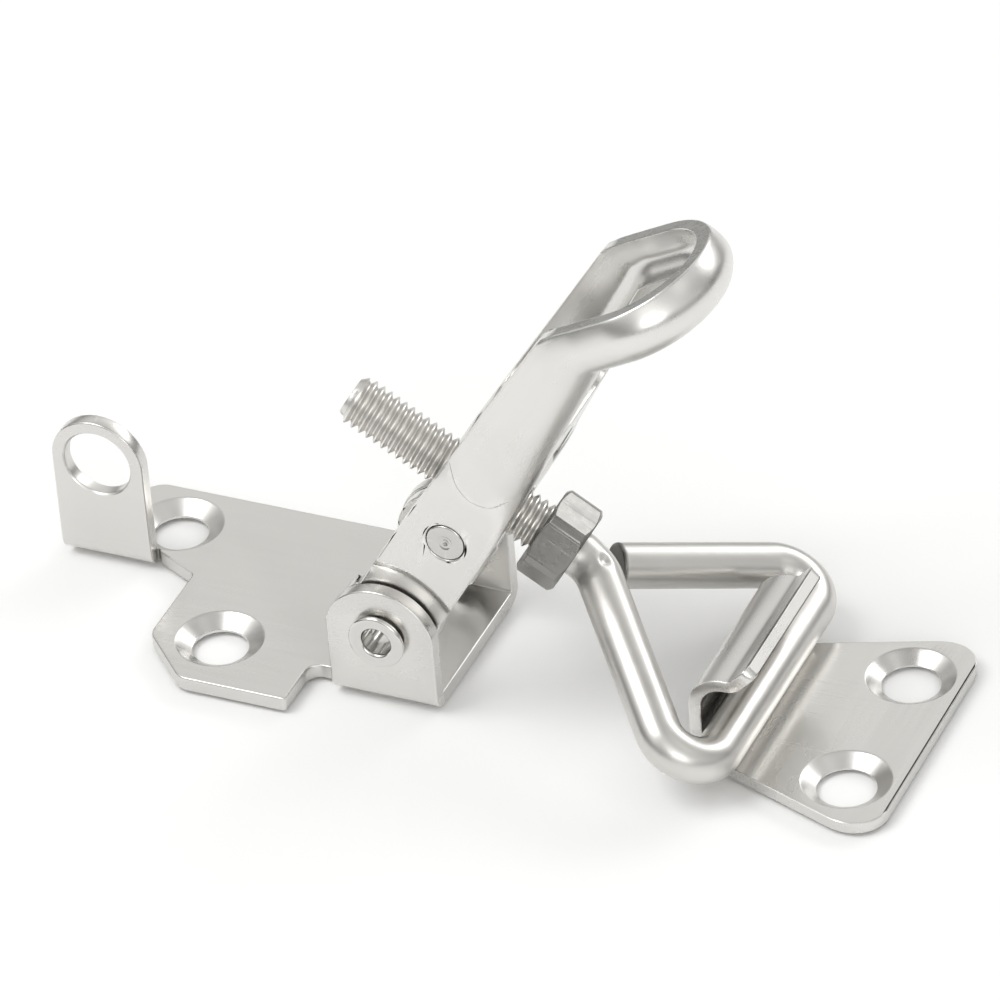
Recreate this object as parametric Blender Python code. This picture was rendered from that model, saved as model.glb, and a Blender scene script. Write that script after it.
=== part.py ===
"""Toggle bolt latch: a base with two ears and a padlock eye, a pressed lever, two hollow
rivets, a cross trunnion, a threaded wire hook with its lock nut, and a lipped keeper.

X runs from the padlock eye (-X) to the keeper (+X), Z is up, and the pivot runs along Y.
The origin is on the underside of the base, directly below the pivot.
"""
import bpy
import bmesh
from math import acos, atan2, ceil, cos, hypot, pi, radians, sin, sqrt, tan
from mathutils import Vector

MM = 0.001
GAP = 0.3                      # clearance between neighbouring pieces, mm

# Base sheet
SHEET = 1.8
PIVOT_Z = 9.2
BASE_HALF_WIDTH = 16.5
BASE_FRONT_LEFT = -29.7        # left edge of the front half
BASE_SHOULDER = -10.0          # where the wide part of the plate ends
BASE_CHAMFER = 6.5
EAR_HALF_LENGTH = 6.5
EAR_RADIUS = 6.7
EAR_TOP_CENTRE = 8.7           # height of the centre of the ear's round top
EAR_OUTER = 11.5
BEND_OUTER = 2.05
RELIEF_RADIUS = 1.75
FRONT_HOLE = (-21.7, -8.5)
REAR_HOLE = (-35.2, 9.9)

# Padlock eye
EYE_LEFT = -46.95
EYE_RIGHT = -35.6
EYE_FRONT = 2.9
EYE_HOLE_Z = 13.75
EYE_HOLE_RADIUS = 4.1

# Countersunk screw holes
SCREW_RADIUS = 3.25
SINK_RADIUS = 5.15
SINK_DEPTH = 1.3

# Lever
LEVER_ANGLE = 58.9             # direction of the lever above +X
LEVER_SHEET = 1.8
CHEEK_OUTER = 10.9
CHEEK_END_RADIUS = 6.2
JOGGLE_INNER = 8.2             # the cheeks step inwards within this radius of the pivot
JOGGLE_OUTER = 10.6
FREE_EDGE = 5.25               # height of the open side above the lever's line
FREE_EDGE_SLOPE = 0.032
CREASE = 48.6                  # where the finger end bends away
CREASE_ANGLE = 31.0
THROAT_END = 24.5              # where the web starts
TIP_LENGTH = 15.2
TIP_STRAIGHT = 5.0
TIP_RIM = 6.6
CORNER = 4.2                   # outer bend between cheek and web
LEAN = 1.0                     # inward lean of the walls at their free edges
SLOT_HALF_WIDTH = 6.6
SLOT_START = 34.9
SLOT_IN_TIP = 8.2
NOTCH_HALF_WIDTH = 3.9
NOTCH_END = 30.5

# Trunnion
TRUNNION_REACH = 17.2          # pivot axis to trunnion axis
BARREL_RADIUS = 4.8
JOURNAL_RADIUS = 2.25

# Rivets
RIVET_HEAD_RADIUS = 3.35
RIVET_HEAD = 0.85
RIVET_SHANK_RADIUS = 2.5
RIVET_BORE_RADIUS = 1.75
RIVET_TAIL_RADIUS = 3.1
RIVET_TAIL = 0.5

# Hook bolt
BOLT_SLOPE = 31.0              # downward slope of the bolt
THREAD_RADIUS = 2.95
WIRE_RADIUS = 2.65
THREAD_TAIL = 18.0             # threaded end beyond the trunnion axis
SHANK_END = 15.0               # trunnion axis to the point where the wire forks
HOOK_REACH = 37.8              # trunnion axis to the cross bar
SHANK_BEND = 4.4
HOOK_BEND = 4.0
WIRE_END = (17.0, 4.8, -2.9)   # where the free end of the wire stops beside the shank

# Lock nut
NUT_NEAR = 7.8
NUT_THICKNESS = 4.9
NUT_ACROSS_FLATS = 9.9
NUT_CORNER_RADIUS = 5.45

# Keeper
KEEPER_SHEET = 1.5
KEEPER_RIGHT = 61.2
KEEPER_CORNER = 6.0
KEEPER_LEFT = 37.35            # middle of the sheet at the lip's upright
LIP_HALF_WIDTH = 10.3
LIP_TOP = 11.2
LIP_FLARE = (44.3, 13.6)
KEEPER_SPREAD = 0.357          # widening of each side per mm of length
KEEPER_HOLES = (54.9, 9.8)

STEEL = (0.70, 0.69, 0.67)


# ---------------------------------------------------------------- shared tools

def clear_scene():
    for old in list(bpy.data.objects):
        bpy.data.objects.remove(old, do_unlink=True)


def steel(name, colour, roughness):
    material = bpy.data.materials.new(name)
    material.use_nodes = True
    shader = material.node_tree.nodes["Principled BSDF"]
    shader.inputs["Base Color"].default_value = (*colour, 1.0)
    shader.inputs["Roughness"].default_value = roughness
    shader.inputs["Metallic"].default_value = 1.0
    return material


def new_object(name, shape, parent=None):
    """Turn a bmesh in millimetres into an object."""
    bmesh.ops.recalc_face_normals(shape, faces=shape.faces)
    if shape.calc_volume(signed=True) < 0.0:
        bmesh.ops.reverse_faces(shape, faces=shape.faces)
    bmesh.ops.scale(shape, vec=(MM, MM, MM), verts=shape.verts)
    mesh = bpy.data.meshes.new(name)
    shape.to_mesh(mesh)
    shape.free()
    item = bpy.data.objects.new(name, mesh)
    bpy.context.scene.collection.objects.link(item)
    item.parent = parent
    return item


def finish(item, material, smooth_angle=35.0):
    item.data.materials.append(material)
    item.data.shade_smooth()
    item.data.set_sharp_from_angle(angle=radians(smooth_angle))


def combine(item, helper, operation):
    """Add a Boolean modifier that uses a hidden helper object."""
    helper.hide_render = True
    helper.display_type = 'WIRE'
    modifier = item.modifiers.new(helper.name, 'BOOLEAN')
    modifier.operation = operation
    modifier.object = helper
    modifier.solver = 'EXACT'


def place(axes, across, up, along):
    """Point with two drawing coordinates and one depth, for a drawing plane such as 'xz'."""
    values = {axes[0]: across, axes[1]: up}
    depth_axis = ({'x', 'y', 'z'} - set(axes)).pop()
    values[depth_axis] = along
    return Vector((values['x'], values['y'], values['z']))


def loft(rings):
    """Closed solid through rings that hold the same number of points."""
    shape = bmesh.new()
    rows = [[shape.verts.new(point) for point in ring] for ring in rings]
    count = len(rows[0])
    for low, high in zip(rows, rows[1:]):
        for i in range(count):
            j = (i + 1) % count
            shape.faces.new((low[i], low[j], high[j], high[i]))
    shape.faces.new(rows[0])
    shape.faces.new(rows[-1])
    return shape


def prism(outline, axes, low, high):
    """Straight extrusion of an outline drawn in the given plane."""
    return loft([[place(axes, a, b, depth) for a, b in outline] for depth in (low, high)])


def arc(centre, radius, start, end, steps):
    """Points on an arc, with its angles in degrees."""
    points = []
    for i in range(steps + 1):
        angle = radians(start + (end - start) * i / steps)
        points.append((centre[0] + radius * cos(angle), centre[1] + radius * sin(angle)))
    return points


def rounded(corners, step_angle=15.0):
    """Closed outline from (a, b, radius) corners, with each corner rounded."""
    outline = []
    count = len(corners)
    for i in range(count):
        here = Vector(corners[i][:2])
        back = (Vector(corners[i - 1][:2]) - here).normalized()
        ahead = (Vector(corners[(i + 1) % count][:2]) - here).normalized()
        radius = corners[i][2]
        if radius <= 0.0:
            outline.append(tuple(here))
            continue
        half = 0.5 * acos(max(-1.0, min(1.0, back.dot(ahead))))
        middle = here + (back + ahead).normalized() * (radius / sin(half))
        first = here + back * (radius / tan(half)) - middle
        last = here + ahead * (radius / tan(half)) - middle
        turn = atan2(first.x * last.y - first.y * last.x, first.dot(last))
        steps = max(2, ceil(abs(turn) / radians(step_angle)))
        for k in range(steps + 1):
            angle = turn * k / steps
            outline.append((middle.x + first.x * cos(angle) - first.y * sin(angle),
                            middle.y + first.x * sin(angle) + first.y * cos(angle)))
    return outline


def fillet_path(points, radii, step_angle=15.0):
    """Open 3-D path with its inner corners rounded."""
    path = [Vector(points[0])]
    for i in range(1, len(points) - 1):
        here = Vector(points[i])
        back = (Vector(points[i - 1]) - here).normalized()
        ahead = (Vector(points[i + 1]) - here).normalized()
        radius = radii[i - 1]
        half = 0.5 * back.angle(ahead)
        middle = here + (back + ahead).normalized() * (radius / sin(half))
        first = here + back * (radius / tan(half)) - middle
        last = here + ahead * (radius / tan(half)) - middle
        sweep = first.angle(last)
        steps = max(2, ceil(sweep / radians(step_angle)))
        for k in range(steps + 1):
            share = k / steps
            point = first * sin((1 - share) * sweep) + last * sin(share * sweep)
            path.append(middle + point / sin(sweep))
    path.append(Vector(points[-1]))
    return path


def turned(profile, axis, centre=(0.0, 0.0), segments=32):
    """Solid of revolution from closed (radius, along) points about an axis."""
    across, up = {'x': ('y', 'z'), 'y': ('x', 'z'), 'z': ('x', 'y')}[axis]
    shape = bmesh.new()
    rows = []
    for k in range(segments):
        angle = 2 * pi * k / segments
        row = []
        for radius, along in profile:
            values = {axis: along}
            values[across] = centre[0] + radius * cos(angle)
            values[up] = centre[1] + radius * sin(angle)
            row.append(shape.verts.new((values['x'], values['y'], values['z'])))
        rows.append(row)
    count = len(profile)
    for k in range(segments):
        low, high = rows[k], rows[(k + 1) % segments]
        for i in range(count):
            j = (i + 1) % count
            shape.faces.new((low[i], low[j], high[j], high[i]))
    return shape


def rod(radius, axis, low, high, centre=(0.0, 0.0), segments=32):
    """Solid cylinder along an axis."""
    across, up = {'x': ('y', 'z'), 'y': ('x', 'z'), 'z': ('x', 'y')}[axis]
    rings = []
    for along in (low, high):
        circle = arc(centre, radius, 4, 364, segments)[:-1]
        rings.append([place(across + up, a, b, along) for a, b in circle])
    return loft(rings)


def screw_hole(name, centre, top, parent=None):
    """Cutter for a countersunk screw hole through a sheet whose top is at the given height."""
    radii_heights = ((SCREW_RADIUS, top - 4.0), (SCREW_RADIUS, top - SINK_DEPTH),
                     (SINK_RADIUS, top), (SINK_RADIUS, top + 0.2))
    rings = []
    for radius, height in radii_heights:
        circle = arc(centre, radius, 0, 360, 36)[:-1]
        rings.append([Vector((x, y, height)) for x, y in circle])
    return new_object(name, loft(rings), parent)


def sheet_section(path, thickness):
    """Closed outline of a sheet whose middle follows a 2-D path."""
    left, right = [], []
    for i, point in enumerate(path):
        before = path[max(i - 1, 0)]
        after = path[min(i + 1, len(path) - 1)]
        run = (Vector(after) - Vector(before)).normalized()
        side = Vector((-run.y, run.x)) * (thickness / 2)
        left.append((point[0] + side.x, point[1] + side.y))
        right.append((point[0] - side.x, point[1] - side.y))
    return left + right[::-1]


# ---------------------------------------------------------------- base

def make_base(material):
    """One bent sheet: the plate, two ears and the padlock eye."""
    flat_start = EAR_OUTER - BEND_OUTER
    eye_flat = EYE_FRONT + BEND_OUTER
    wide = BASE_HALF_WIDTH

    relief_centre = (BASE_SHOULDER + RELIEF_RADIUS, EAR_OUTER)
    half_relief = [(BASE_SHOULDER, EAR_OUTER)]
    half_relief += arc(relief_centre, RELIEF_RADIUS, 180, 295, 8)[1:]
    half_relief += [(-EAR_HALF_LENGTH, half_relief[-1][1] + 0.1), (0.4 - EAR_HALF_LENGTH, flat_start)]
    corners = [
        (BASE_SHOULDER, wide, 0.4),
        (EYE_LEFT + BASE_CHAMFER, wide, 2.5),
        (EYE_LEFT, wide - BASE_CHAMFER, 2.5),
        (EYE_LEFT, eye_flat + 0.1, 0.0),
        (EYE_RIGHT, eye_flat + 0.1, 0.0),
        (EYE_RIGHT + 0.5, EYE_FRONT + 1.4, 0.6),
        (BASE_FRONT_LEFT, 1.6, 0.9),
        (BASE_FRONT_LEFT, BASE_CHAMFER - wide, 2.5),
        (BASE_FRONT_LEFT + BASE_CHAMFER, -wide, 2.5),
        (BASE_SHOULDER, -wide, 0.4),
    ]
    outline = rounded(corners)
    outline += [(x, -y) for x, y in half_relief]
    outline += [(EAR_HALF_LENGTH, -flat_start), (EAR_HALF_LENGTH, flat_start)]
    outline += half_relief[::-1]
    base = new_object("base_plate", prism(outline, 'xy', 0.0, SHEET))

    half_t = SHEET / 2
    ear_middle = EAR_OUTER - half_t
    ear_top = EAR_TOP_CENTRE + EAR_RADIUS + 1.0
    bend = BEND_OUTER - half_t
    path = fillet_path([(0, -ear_middle, ear_top), (0, -ear_middle, half_t),
                        (0, ear_middle, half_t), (0, ear_middle, ear_top)], [bend, bend])
    section = sheet_section([(p.y, p.z) for p in path], SHEET)
    ears = new_object("ears", prism(section, 'yz', -EAR_HALF_LENGTH, EAR_HALF_LENGTH))
    ear_outline = arc((0, EAR_TOP_CENTRE), EAR_RADIUS, 0, 180, 24)
    ear_outline += [(-EAR_RADIUS, -1.0), (EAR_RADIUS, -1.0)]
    ear_trim = new_object("ear_trim", prism(ear_outline, 'xz', -14, 14))
    combine(ears, ear_trim, 'INTERSECT')
    combine(base, ears, 'UNION')

    eye_radius = (EYE_RIGHT - EYE_LEFT) / 2
    eye_middle = EYE_FRONT + half_t
    path = fillet_path([(0, eye_middle, EYE_HOLE_Z + eye_radius + 1), (0, eye_middle, half_t),
                        (0, eye_flat + 1.0, half_t)], [bend])
    section = sheet_section([(p.y, p.z) for p in path], SHEET)
    eye = new_object("eye", prism(section, 'yz', EYE_LEFT, EYE_RIGHT))
    centre_x = (EYE_LEFT + EYE_RIGHT) / 2
    eye_outline = arc((centre_x, EYE_HOLE_Z), eye_radius, 0, 180, 20)
    eye_outline += [(EYE_LEFT, 1.2), (EYE_LEFT + 0.6, -1.0), (EYE_RIGHT, -1.0)]
    eye_trim = new_object("eye_trim", prism(eye_outline, 'xz', 0, 10))
    combine(eye, eye_trim, 'INTERSECT')
    combine(base, eye, 'UNION')

    eye_hole = rod(EYE_HOLE_RADIUS, 'y', 0.0, 8.0, (centre_x, EYE_HOLE_Z), 36)
    combine(base, new_object("eye_hole", eye_hole), 'DIFFERENCE')
    pivot_hole = rod(RIVET_SHANK_RADIUS + GAP, 'y', -14.0, 14.0, (0.0, PIVOT_Z))
    combine(base, new_object("ear_holes", pivot_hole), 'DIFFERENCE')
    for label, centre in (("front_screw_hole", FRONT_HOLE), ("rear_screw_hole", REAR_HOLE)):
        combine(base, screw_hole(label, centre, SHEET), 'DIFFERENCE')
    finish(base, material)


# ---------------------------------------------------------------- lever
# In the lever's own axes X runs from the pivot to the finger end and Z points to its open side.

def smooth_step(value):
    share = max(0.0, min(1.0, value))
    return share * share * (3 - 2 * share)


def web_height(along):
    """Outer face of the web, below the lever's line."""
    return -5.0 + 0.056 * (max(along, 12.0) - 16.0)


def free_edge(along):
    return FREE_EDGE - FREE_EDGE_SLOPE * max(0.0, along - 16.0)


def corner_inset(level, corner):
    """How far the rounded cheek corner sits inside the cheek, at a level over the floor."""
    if level >= corner:
        return 0.0
    return corner - sqrt(max(0.0, corner ** 2 - (corner - level) ** 2))


def lean_inset(height, rim):
    """How far a wall leans inwards at a height over the web's outer face."""
    middle = 0.45 * rim
    share = (min(height, rim + 1.0) - middle) / (rim - middle)
    return LEAN * max(0.0, share) ** 2


def half_width(along, height, level, inset):
    """Distance of a cheek face from the middle, at a place in the side view."""
    share = smooth_step((along - 22.0) / 6.0)
    corner = max(0.8 + (CORNER - 0.8) * share - inset, 0.3)
    reach = hypot(along, height)
    step_in = 1.0 - smooth_step((reach - JOGGLE_INNER) / (JOGGLE_OUTER - JOGGLE_INNER))
    rim = free_edge(along) - web_height(along)
    width = CHEEK_OUTER - inset - (CHEEK_OUTER - EAR_OUTER + SHEET + GAP) * step_in
    return width - corner_inset(level - inset, corner) - share * lean_inset(level, rim)


def tip_point(along, across, level):
    """Point of the finger end, turned at the crease into the lever's axes."""
    turn = radians(CREASE_ANGLE)
    return Vector((CREASE + along * cos(turn) + level * sin(turn), across,
                   web_height(CREASE) - along * sin(turn) + level * cos(turn)))


def lever_layer(level, inset, stations, throat_drop=0.0):
    """Mirrored outline of the lever at a level over the web's outer face."""
    front = []
    for along in stations:
        height = web_height(along) + level
        drop = throat_drop if along < THROAT_END else 0.0
        front.append(Vector((along, -half_width(along, height, level, inset), height - drop)))
    corner = max(CORNER - inset, 0.3)
    shrink = inset + corner_inset(level - inset, corner) + lean_inset(level, TIP_RIM)
    half = CHEEK_OUTER - shrink
    reach = TIP_LENGTH - TIP_STRAIGHT - shrink
    front.append(tip_point(0.3, -half, level))
    steps = 21
    for i in range(steps // 2 + 1):
        angle = radians(-90 + 180 * i / steps)
        front.append(tip_point(TIP_STRAIGHT + reach * cos(angle), half * sin(angle), level))
    rear = [Vector((point.x, -point.y, point.z)) for point in reversed(front)]
    return front + rear


def mirrored_loft(rings):
    """Closed solid through mirrored outlines; the end caps follow the bend of the outline."""
    shape = bmesh.new()
    rows = [[shape.verts.new(point) for point in ring] for ring in rings]
    count = len(rows[0])
    for low, high in zip(rows, rows[1:]):
        for i in range(count):
            j = (i + 1) % count
            shape.faces.new((low[i], low[j], high[j], high[i]))
    for row in (rows[0], rows[-1]):
        for i in range(count // 2 - 1):
            shape.faces.new((row[i], row[i + 1], row[count - 2 - i], row[count - 1 - i]))
    return shape


def lever_block(inset, stations, top, throat_drop=0.0):
    corner = max(CORNER - inset, 0.3)
    levels = [inset + corner * (1 - cos(radians(a))) for a in (0, 22, 40, 57, 74, 90)]
    start = levels[-1]
    steps = 11
    levels += [start + (top - start) * (i + 1) / steps for i in range(steps)]
    rings = []
    for i, level in enumerate(levels):
        drop = throat_drop if i == 0 else 0.0
        rings.append(lever_layer(level, inset, stations, drop))
    return mirrored_loft(rings)


def slot_cutter():
    """One cutter for the slot in the web and the window in the finger end."""
    half = SLOT_HALF_WIDTH
    rings = []
    for along, width in ((0.0, half - 2.0), (0.6, half - 0.7), (2.0, half),
                         (CREASE - 2.0 - SLOT_START, half)):
        low = web_height(CREASE) - 3.5
        corners = [(-width, low), (width, low), (width, 0.2), (-width, 0.2)]
        rings.append([Vector((SLOT_START + along, y, z)) for y, z in corners])
    for along, width in ((1.5, half), (SLOT_IN_TIP - 3.5, half), (SLOT_IN_TIP - 1.0, half - 1.0),
                         (SLOT_IN_TIP, half - 3.2)):
        corners = [(-width, -3.5), (width, -3.5), (width, 3.4), (-width, 3.4)]
        rings.append([tip_point(along, y, level) for y, level in corners])
    return loft(rings)


def make_lever(material, pivot):
    stations = [-9.35 + 0.9 * i for i in range(23)]
    stations += [13, 17, 22, 24.0, 25.5, 27, 28.5, 35, 42, CREASE]
    lever = new_object("handle", lever_block(0.0, stations, 14.0), pivot)

    open_end = [-10.0] + [s for s in stations if s < THROAT_END] + [THROAT_END - 0.05]
    closed_end = [THROAT_END + 0.05] + [s for s in stations if s > THROAT_END]
    hollow = lever_block(LEVER_SHEET, open_end + closed_end, 15.0, 8.0)
    combine(lever, new_object("channel_hollow", hollow, lever), 'DIFFERENCE')

    rim_start = tip_point(-3.0, 0, TIP_RIM)
    rim_end = tip_point(TIP_LENGTH + 2, 0, TIP_RIM)
    slope = tan(radians(CREASE_ANGLE))
    edge_at_zero = FREE_EDGE + FREE_EDGE_SLOPE * 16.0
    meet = (rim_start.z + slope * rim_start.x - edge_at_zero) / (slope - FREE_EDGE_SLOPE)
    join_angle = 58.0
    outline = arc((0, 0), CHEEK_END_RADIUS, join_angle, 360 - join_angle, 24)
    outline += [(9.5, -4.9), (23.0, -4.7), (THROAT_END, -14.0), (rim_end.x, -22.0)]
    outline += [(rim_end.x, rim_end.z), (meet, free_edge(meet)), (16.0, free_edge(16.0))]
    trim = new_object("lever_outline", prism(outline, 'xz', -16, 16), lever)
    combine(lever, trim, 'INTERSECT')

    combine(lever, new_object("slot_and_window", slot_cutter(), lever), 'DIFFERENCE')
    notch = rounded([(THROAT_END - 2, -NOTCH_HALF_WIDTH, 0.0), (NOTCH_END, -NOTCH_HALF_WIDTH, 2.5),
                     (NOTCH_END, NOTCH_HALF_WIDTH, 2.5), (THROAT_END - 2, NOTCH_HALF_WIDTH, 0.0)])
    combine(lever, new_object("notch", prism(notch, 'xy', -9, 0), lever), 'DIFFERENCE')

    pivot_hole = rod(RIVET_SHANK_RADIUS + GAP, 'y', -14, 14)
    combine(lever, new_object("lever_pivot_holes", pivot_hole, lever), 'DIFFERENCE')
    journal_hole = rod(JOURNAL_RADIUS + GAP, 'y', -14, 14, (TRUNNION_REACH, 0.0))
    combine(lever, new_object("journal_holes", journal_hole, lever), 'DIFFERENCE')
    finish(lever, material)


# ---------------------------------------------------------------- rivets and trunnion

def make_rivet(name, side, material, pivot):
    """Hollow rivet through one ear and one cheek; side is -1 at the front and 1 at the rear."""
    seat = EAR_OUTER + GAP
    face = seat + RIVET_HEAD
    tail_seat = EAR_OUTER - 2 * SHEET - 2 * GAP
    tail_end = tail_seat - RIVET_TAIL
    head_rim = RIVET_HEAD_RADIUS
    profile = [
        (RIVET_BORE_RADIUS, tail_end), (RIVET_TAIL_RADIUS - 0.2, tail_end),
        (RIVET_TAIL_RADIUS, tail_end + 0.15), (RIVET_TAIL_RADIUS, tail_seat),
        (RIVET_SHANK_RADIUS, tail_seat), (RIVET_SHANK_RADIUS, seat), (head_rim, seat),
        (head_rim, face - 0.5), (head_rim - 0.2, face - 0.15), (head_rim - 0.55, face),
        (RIVET_BORE_RADIUS + 0.75, face), (RIVET_BORE_RADIUS + 0.3, face - 0.25),
        (RIVET_BORE_RADIUS, face - 0.7),
    ]
    profile = [(radius, side * along) for radius, along in profile]
    rivet = new_object(name, turned(profile, 'y'), pivot)
    finish(rivet, material)


def make_trunnion(material, swivel):
    """Barrel between the cheeks with a journal in each, and a cross bore for the bolt."""
    barrel_end = CHEEK_OUTER - LEVER_SHEET - GAP
    dimple = 0.55
    half = [(0.0, CHEEK_OUTER - 0.45), (dimple, CHEEK_OUTER),
            (JOURNAL_RADIUS - 0.25, CHEEK_OUTER), (JOURNAL_RADIUS, CHEEK_OUTER - 0.25),
            (JOURNAL_RADIUS, barrel_end), (BARREL_RADIUS - 0.3, barrel_end),
            (BARREL_RADIUS, barrel_end - 0.3)]
    stations = [(radius, -along) for radius, along in half]
    stations += [(radius, along) for radius, along in reversed(half)]
    rings = []
    for radius, along in stations:
        circle = arc((0, 0), max(radius, 0.02), 0, 360, 32)[:-1]
        rings.append([place('xz', a, b, along) for a, b in circle])
    trunnion = new_object("trunnion", loft(rings), swivel)
    bore = new_object("trunnion_bore", rod(THREAD_RADIUS + GAP, 'x', -8, 8), swivel)
    combine(trunnion, bore, 'DIFFERENCE')
    finish(trunnion, material)


# ---------------------------------------------------------------- hook bolt and nut
# In the bolt's own axes X runs down the bolt from the trunnion axis to the hook.

def make_hook_bolt(material, swivel):
    """Threaded rod and triangular hook, bent from one length of wire."""
    corner = HOOK_REACH - SHANK_END
    points = [(NUT_NEAR + NUT_THICKNESS, 0, 0), (SHANK_END, 0, 0), (HOOK_REACH, -corner, 0),
              (HOOK_REACH, corner, 0), WIRE_END]
    path = fillet_path(points, [SHANK_BEND, HOOK_BEND, HOOK_BEND])
    thread_end = NUT_NEAR + NUT_THICKNESS - 0.4
    start = [(-THREAD_TAIL, THREAD_RADIUS - 0.7), (-THREAD_TAIL + 0.7, THREAD_RADIUS),
             (thread_end - 0.3, THREAD_RADIUS), (thread_end, WIRE_RADIUS)]
    spine = [(Vector((along, 0, 0)), radius) for along, radius in start]
    spine += [(point, WIRE_RADIUS) for point in path]
    last = spine[-1][0]
    inward = (spine[-2][0] - last).normalized()
    spine[-1] = (last + inward * 0.4, WIRE_RADIUS)
    spine.append((last, WIRE_RADIUS - 0.4))
    rings = []
    normal = Vector((0, 0, 1))
    for i, (centre, radius) in enumerate(spine):
        before = spine[max(i - 1, 0)][0]
        after = spine[min(i + 1, len(spine) - 1)][0]
        run = (after - before).normalized()
        normal = (normal - run * normal.dot(run)).normalized()
        side = run.cross(normal)
        ring = []
        for k in range(24):
            angle = 2 * pi * k / 24
            ring.append(centre + (side * cos(angle) + normal * sin(angle)) * radius)
        rings.append(ring)
    bolt = new_object("hook_bolt", loft(rings), swivel)
    finish(bolt, material, 40.0)


def make_nut(material, swivel):
    """Hexagon nut with both faces chamfered and its corners eased."""
    far = NUT_NEAR + NUT_THICKNESS
    apothem = NUT_ACROSS_FLATS / 2
    hexagon = arc((0, 0), apothem / cos(pi / 6), 0, 360, 6)[:-1]
    nut = new_object("lock_nut", prism(hexagon, 'yz', NUT_NEAR, far), swivel)
    chamfer = 0.55
    easing = [(NUT_NEAR, apothem - 0.15), (NUT_NEAR + chamfer, NUT_CORNER_RADIUS),
              (far - chamfer, NUT_CORNER_RADIUS), (far, apothem - 0.15)]
    rings = []
    for along, radius in easing:
        circle = arc((0, 0), radius, 0, 360, 48)[:-1]
        rings.append([place('yz', a, b, along) for a, b in circle])
    combine(nut, new_object("nut_easing", loft(rings), swivel), 'INTERSECT')
    bore = rod(THREAD_RADIUS + GAP, 'x', NUT_NEAR - 2, far + 2)
    combine(nut, new_object("nut_bore", bore, swivel), 'DIFFERENCE')
    finish(nut, material, 25.0)


# ---------------------------------------------------------------- keeper

def keeper_half_width(x):
    return LIP_HALF_WIDTH + KEEPER_SPREAD * max(0.0, x - KEEPER_LEFT)


def make_keeper(material, bar):
    """Screw plate whose narrow end curls up and back over the cross bar."""
    shift = Vector((bar.location.x / MM, 0.0, bar.location.z / MM))
    half_t = KEEPER_SHEET / 2
    stations = []
    for degrees in (0, 15, 30, 45, 60, 75, 90):
        x = KEEPER_RIGHT - KEEPER_CORNER * (1 - cos(radians(degrees)))
        trim = KEEPER_CORNER * (1 - sin(radians(degrees)))
        stations.append((Vector((x, 0, half_t)), keeper_half_width(x) - trim))
    path = fillet_path([(KEEPER_RIGHT - KEEPER_CORNER, 0, half_t), (KEEPER_LEFT, 0, half_t),
                        (KEEPER_LEFT, 0, LIP_TOP), (42.0, 0, LIP_TOP),
                        (LIP_FLARE[0], 0, LIP_FLARE[1])], [3.8, 3.6, 2.0], 12.0)
    for point in path[1:]:
        width = keeper_half_width(point.x) if point.z < 3.0 else LIP_HALF_WIDTH
        stations.append((point, width))
    end, width = stations.pop()
    run = (end - stations[-1][0]).normalized()
    for degrees in (90, 60, 30, 0):
        inward = 1.2 * (1 - cos(radians(degrees)))
        stations.append((end - run * inward, width - 1.2 * (1 - sin(radians(degrees)))))
    rings = []
    for i, (point, width) in enumerate(stations):
        run = stations[min(i + 1, len(stations) - 1)][0] - stations[max(i - 1, 0)][0]
        side = Vector((-run.z, 0, run.x)).normalized() * half_t
        middle = point - shift
        rings.append([middle + side + Vector((0, width, 0)), middle + side - Vector((0, width, 0)),
                      middle - side - Vector((0, width, 0)), middle - side + Vector((0, width, 0))])
    keeper = new_object("keeper", loft(rings), bar)
    for side in (-1, 1):
        centre = (KEEPER_HOLES[0] - shift.x, side * KEEPER_HOLES[1])
        label = "keeper_hole_front" if side < 0 else "keeper_hole_rear"
        combine(keeper, screw_hole(label, centre, KEEPER_SHEET - shift.z, bar), 'DIFFERENCE')
    finish(keeper, material)


# ---------------------------------------------------------------- assembly

def empty(name, location_mm, turn_about_y=0.0):
    item = bpy.data.objects.new(name, None)
    bpy.context.scene.collection.objects.link(item)
    item.location = Vector(location_mm) * MM
    item.rotation_euler = (0.0, radians(turn_about_y), 0.0)
    return item


def build():
    clear_scene()
    make_base(steel("base_steel", STEEL, 0.28))

    lever_turn = radians(LEVER_ANGLE)
    pivot = empty("lever_pivot", (0, 0, PIVOT_Z), -LEVER_ANGLE)
    make_lever(steel("handle_steel", (0.74, 0.73, 0.71), 0.20), pivot)

    rivet_pivot = empty("rivet_axis", (0, 0, PIVOT_Z))
    rivet_steel = steel("rivet_steel", (0.72, 0.71, 0.69), 0.22)
    make_rivet("pivot_rivet_front", -1, rivet_steel, rivet_pivot)
    make_rivet("pivot_rivet_rear", 1, rivet_steel, rivet_pivot)

    swivel_place = (TRUNNION_REACH * cos(lever_turn), 0,
                    PIVOT_Z + TRUNNION_REACH * sin(lever_turn))
    swivel = empty("trunnion_axis", swivel_place, BOLT_SLOPE)
    make_trunnion(steel("trunnion_steel", (0.68, 0.67, 0.65), 0.30), swivel)
    make_hook_bolt(steel("bolt_steel", (0.66, 0.65, 0.63), 0.26), swivel)
    make_nut(steel("nut_steel", (0.64, 0.63, 0.61), 0.30), swivel)

    slope = radians(BOLT_SLOPE)
    bar_place = (swivel_place[0] + HOOK_REACH * cos(slope), 0,
                 swivel_place[2] - HOOK_REACH * sin(slope))
    bar = empty("cross_bar_axis", bar_place)
    bpy.context.view_layer.update()
    make_keeper(steel("keeper_steel", STEEL, 0.26), bar)


build()
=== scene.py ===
"""Looks for the toggle bolt latch: detailed steel pieces, a pale floor, studio light and a camera.

Lengths are in millimetres until a mesh is finished, then in metres.
"""

from math import acos, atan2, ceil, cos, hypot, pi, radians, sin, sqrt, tan

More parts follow.
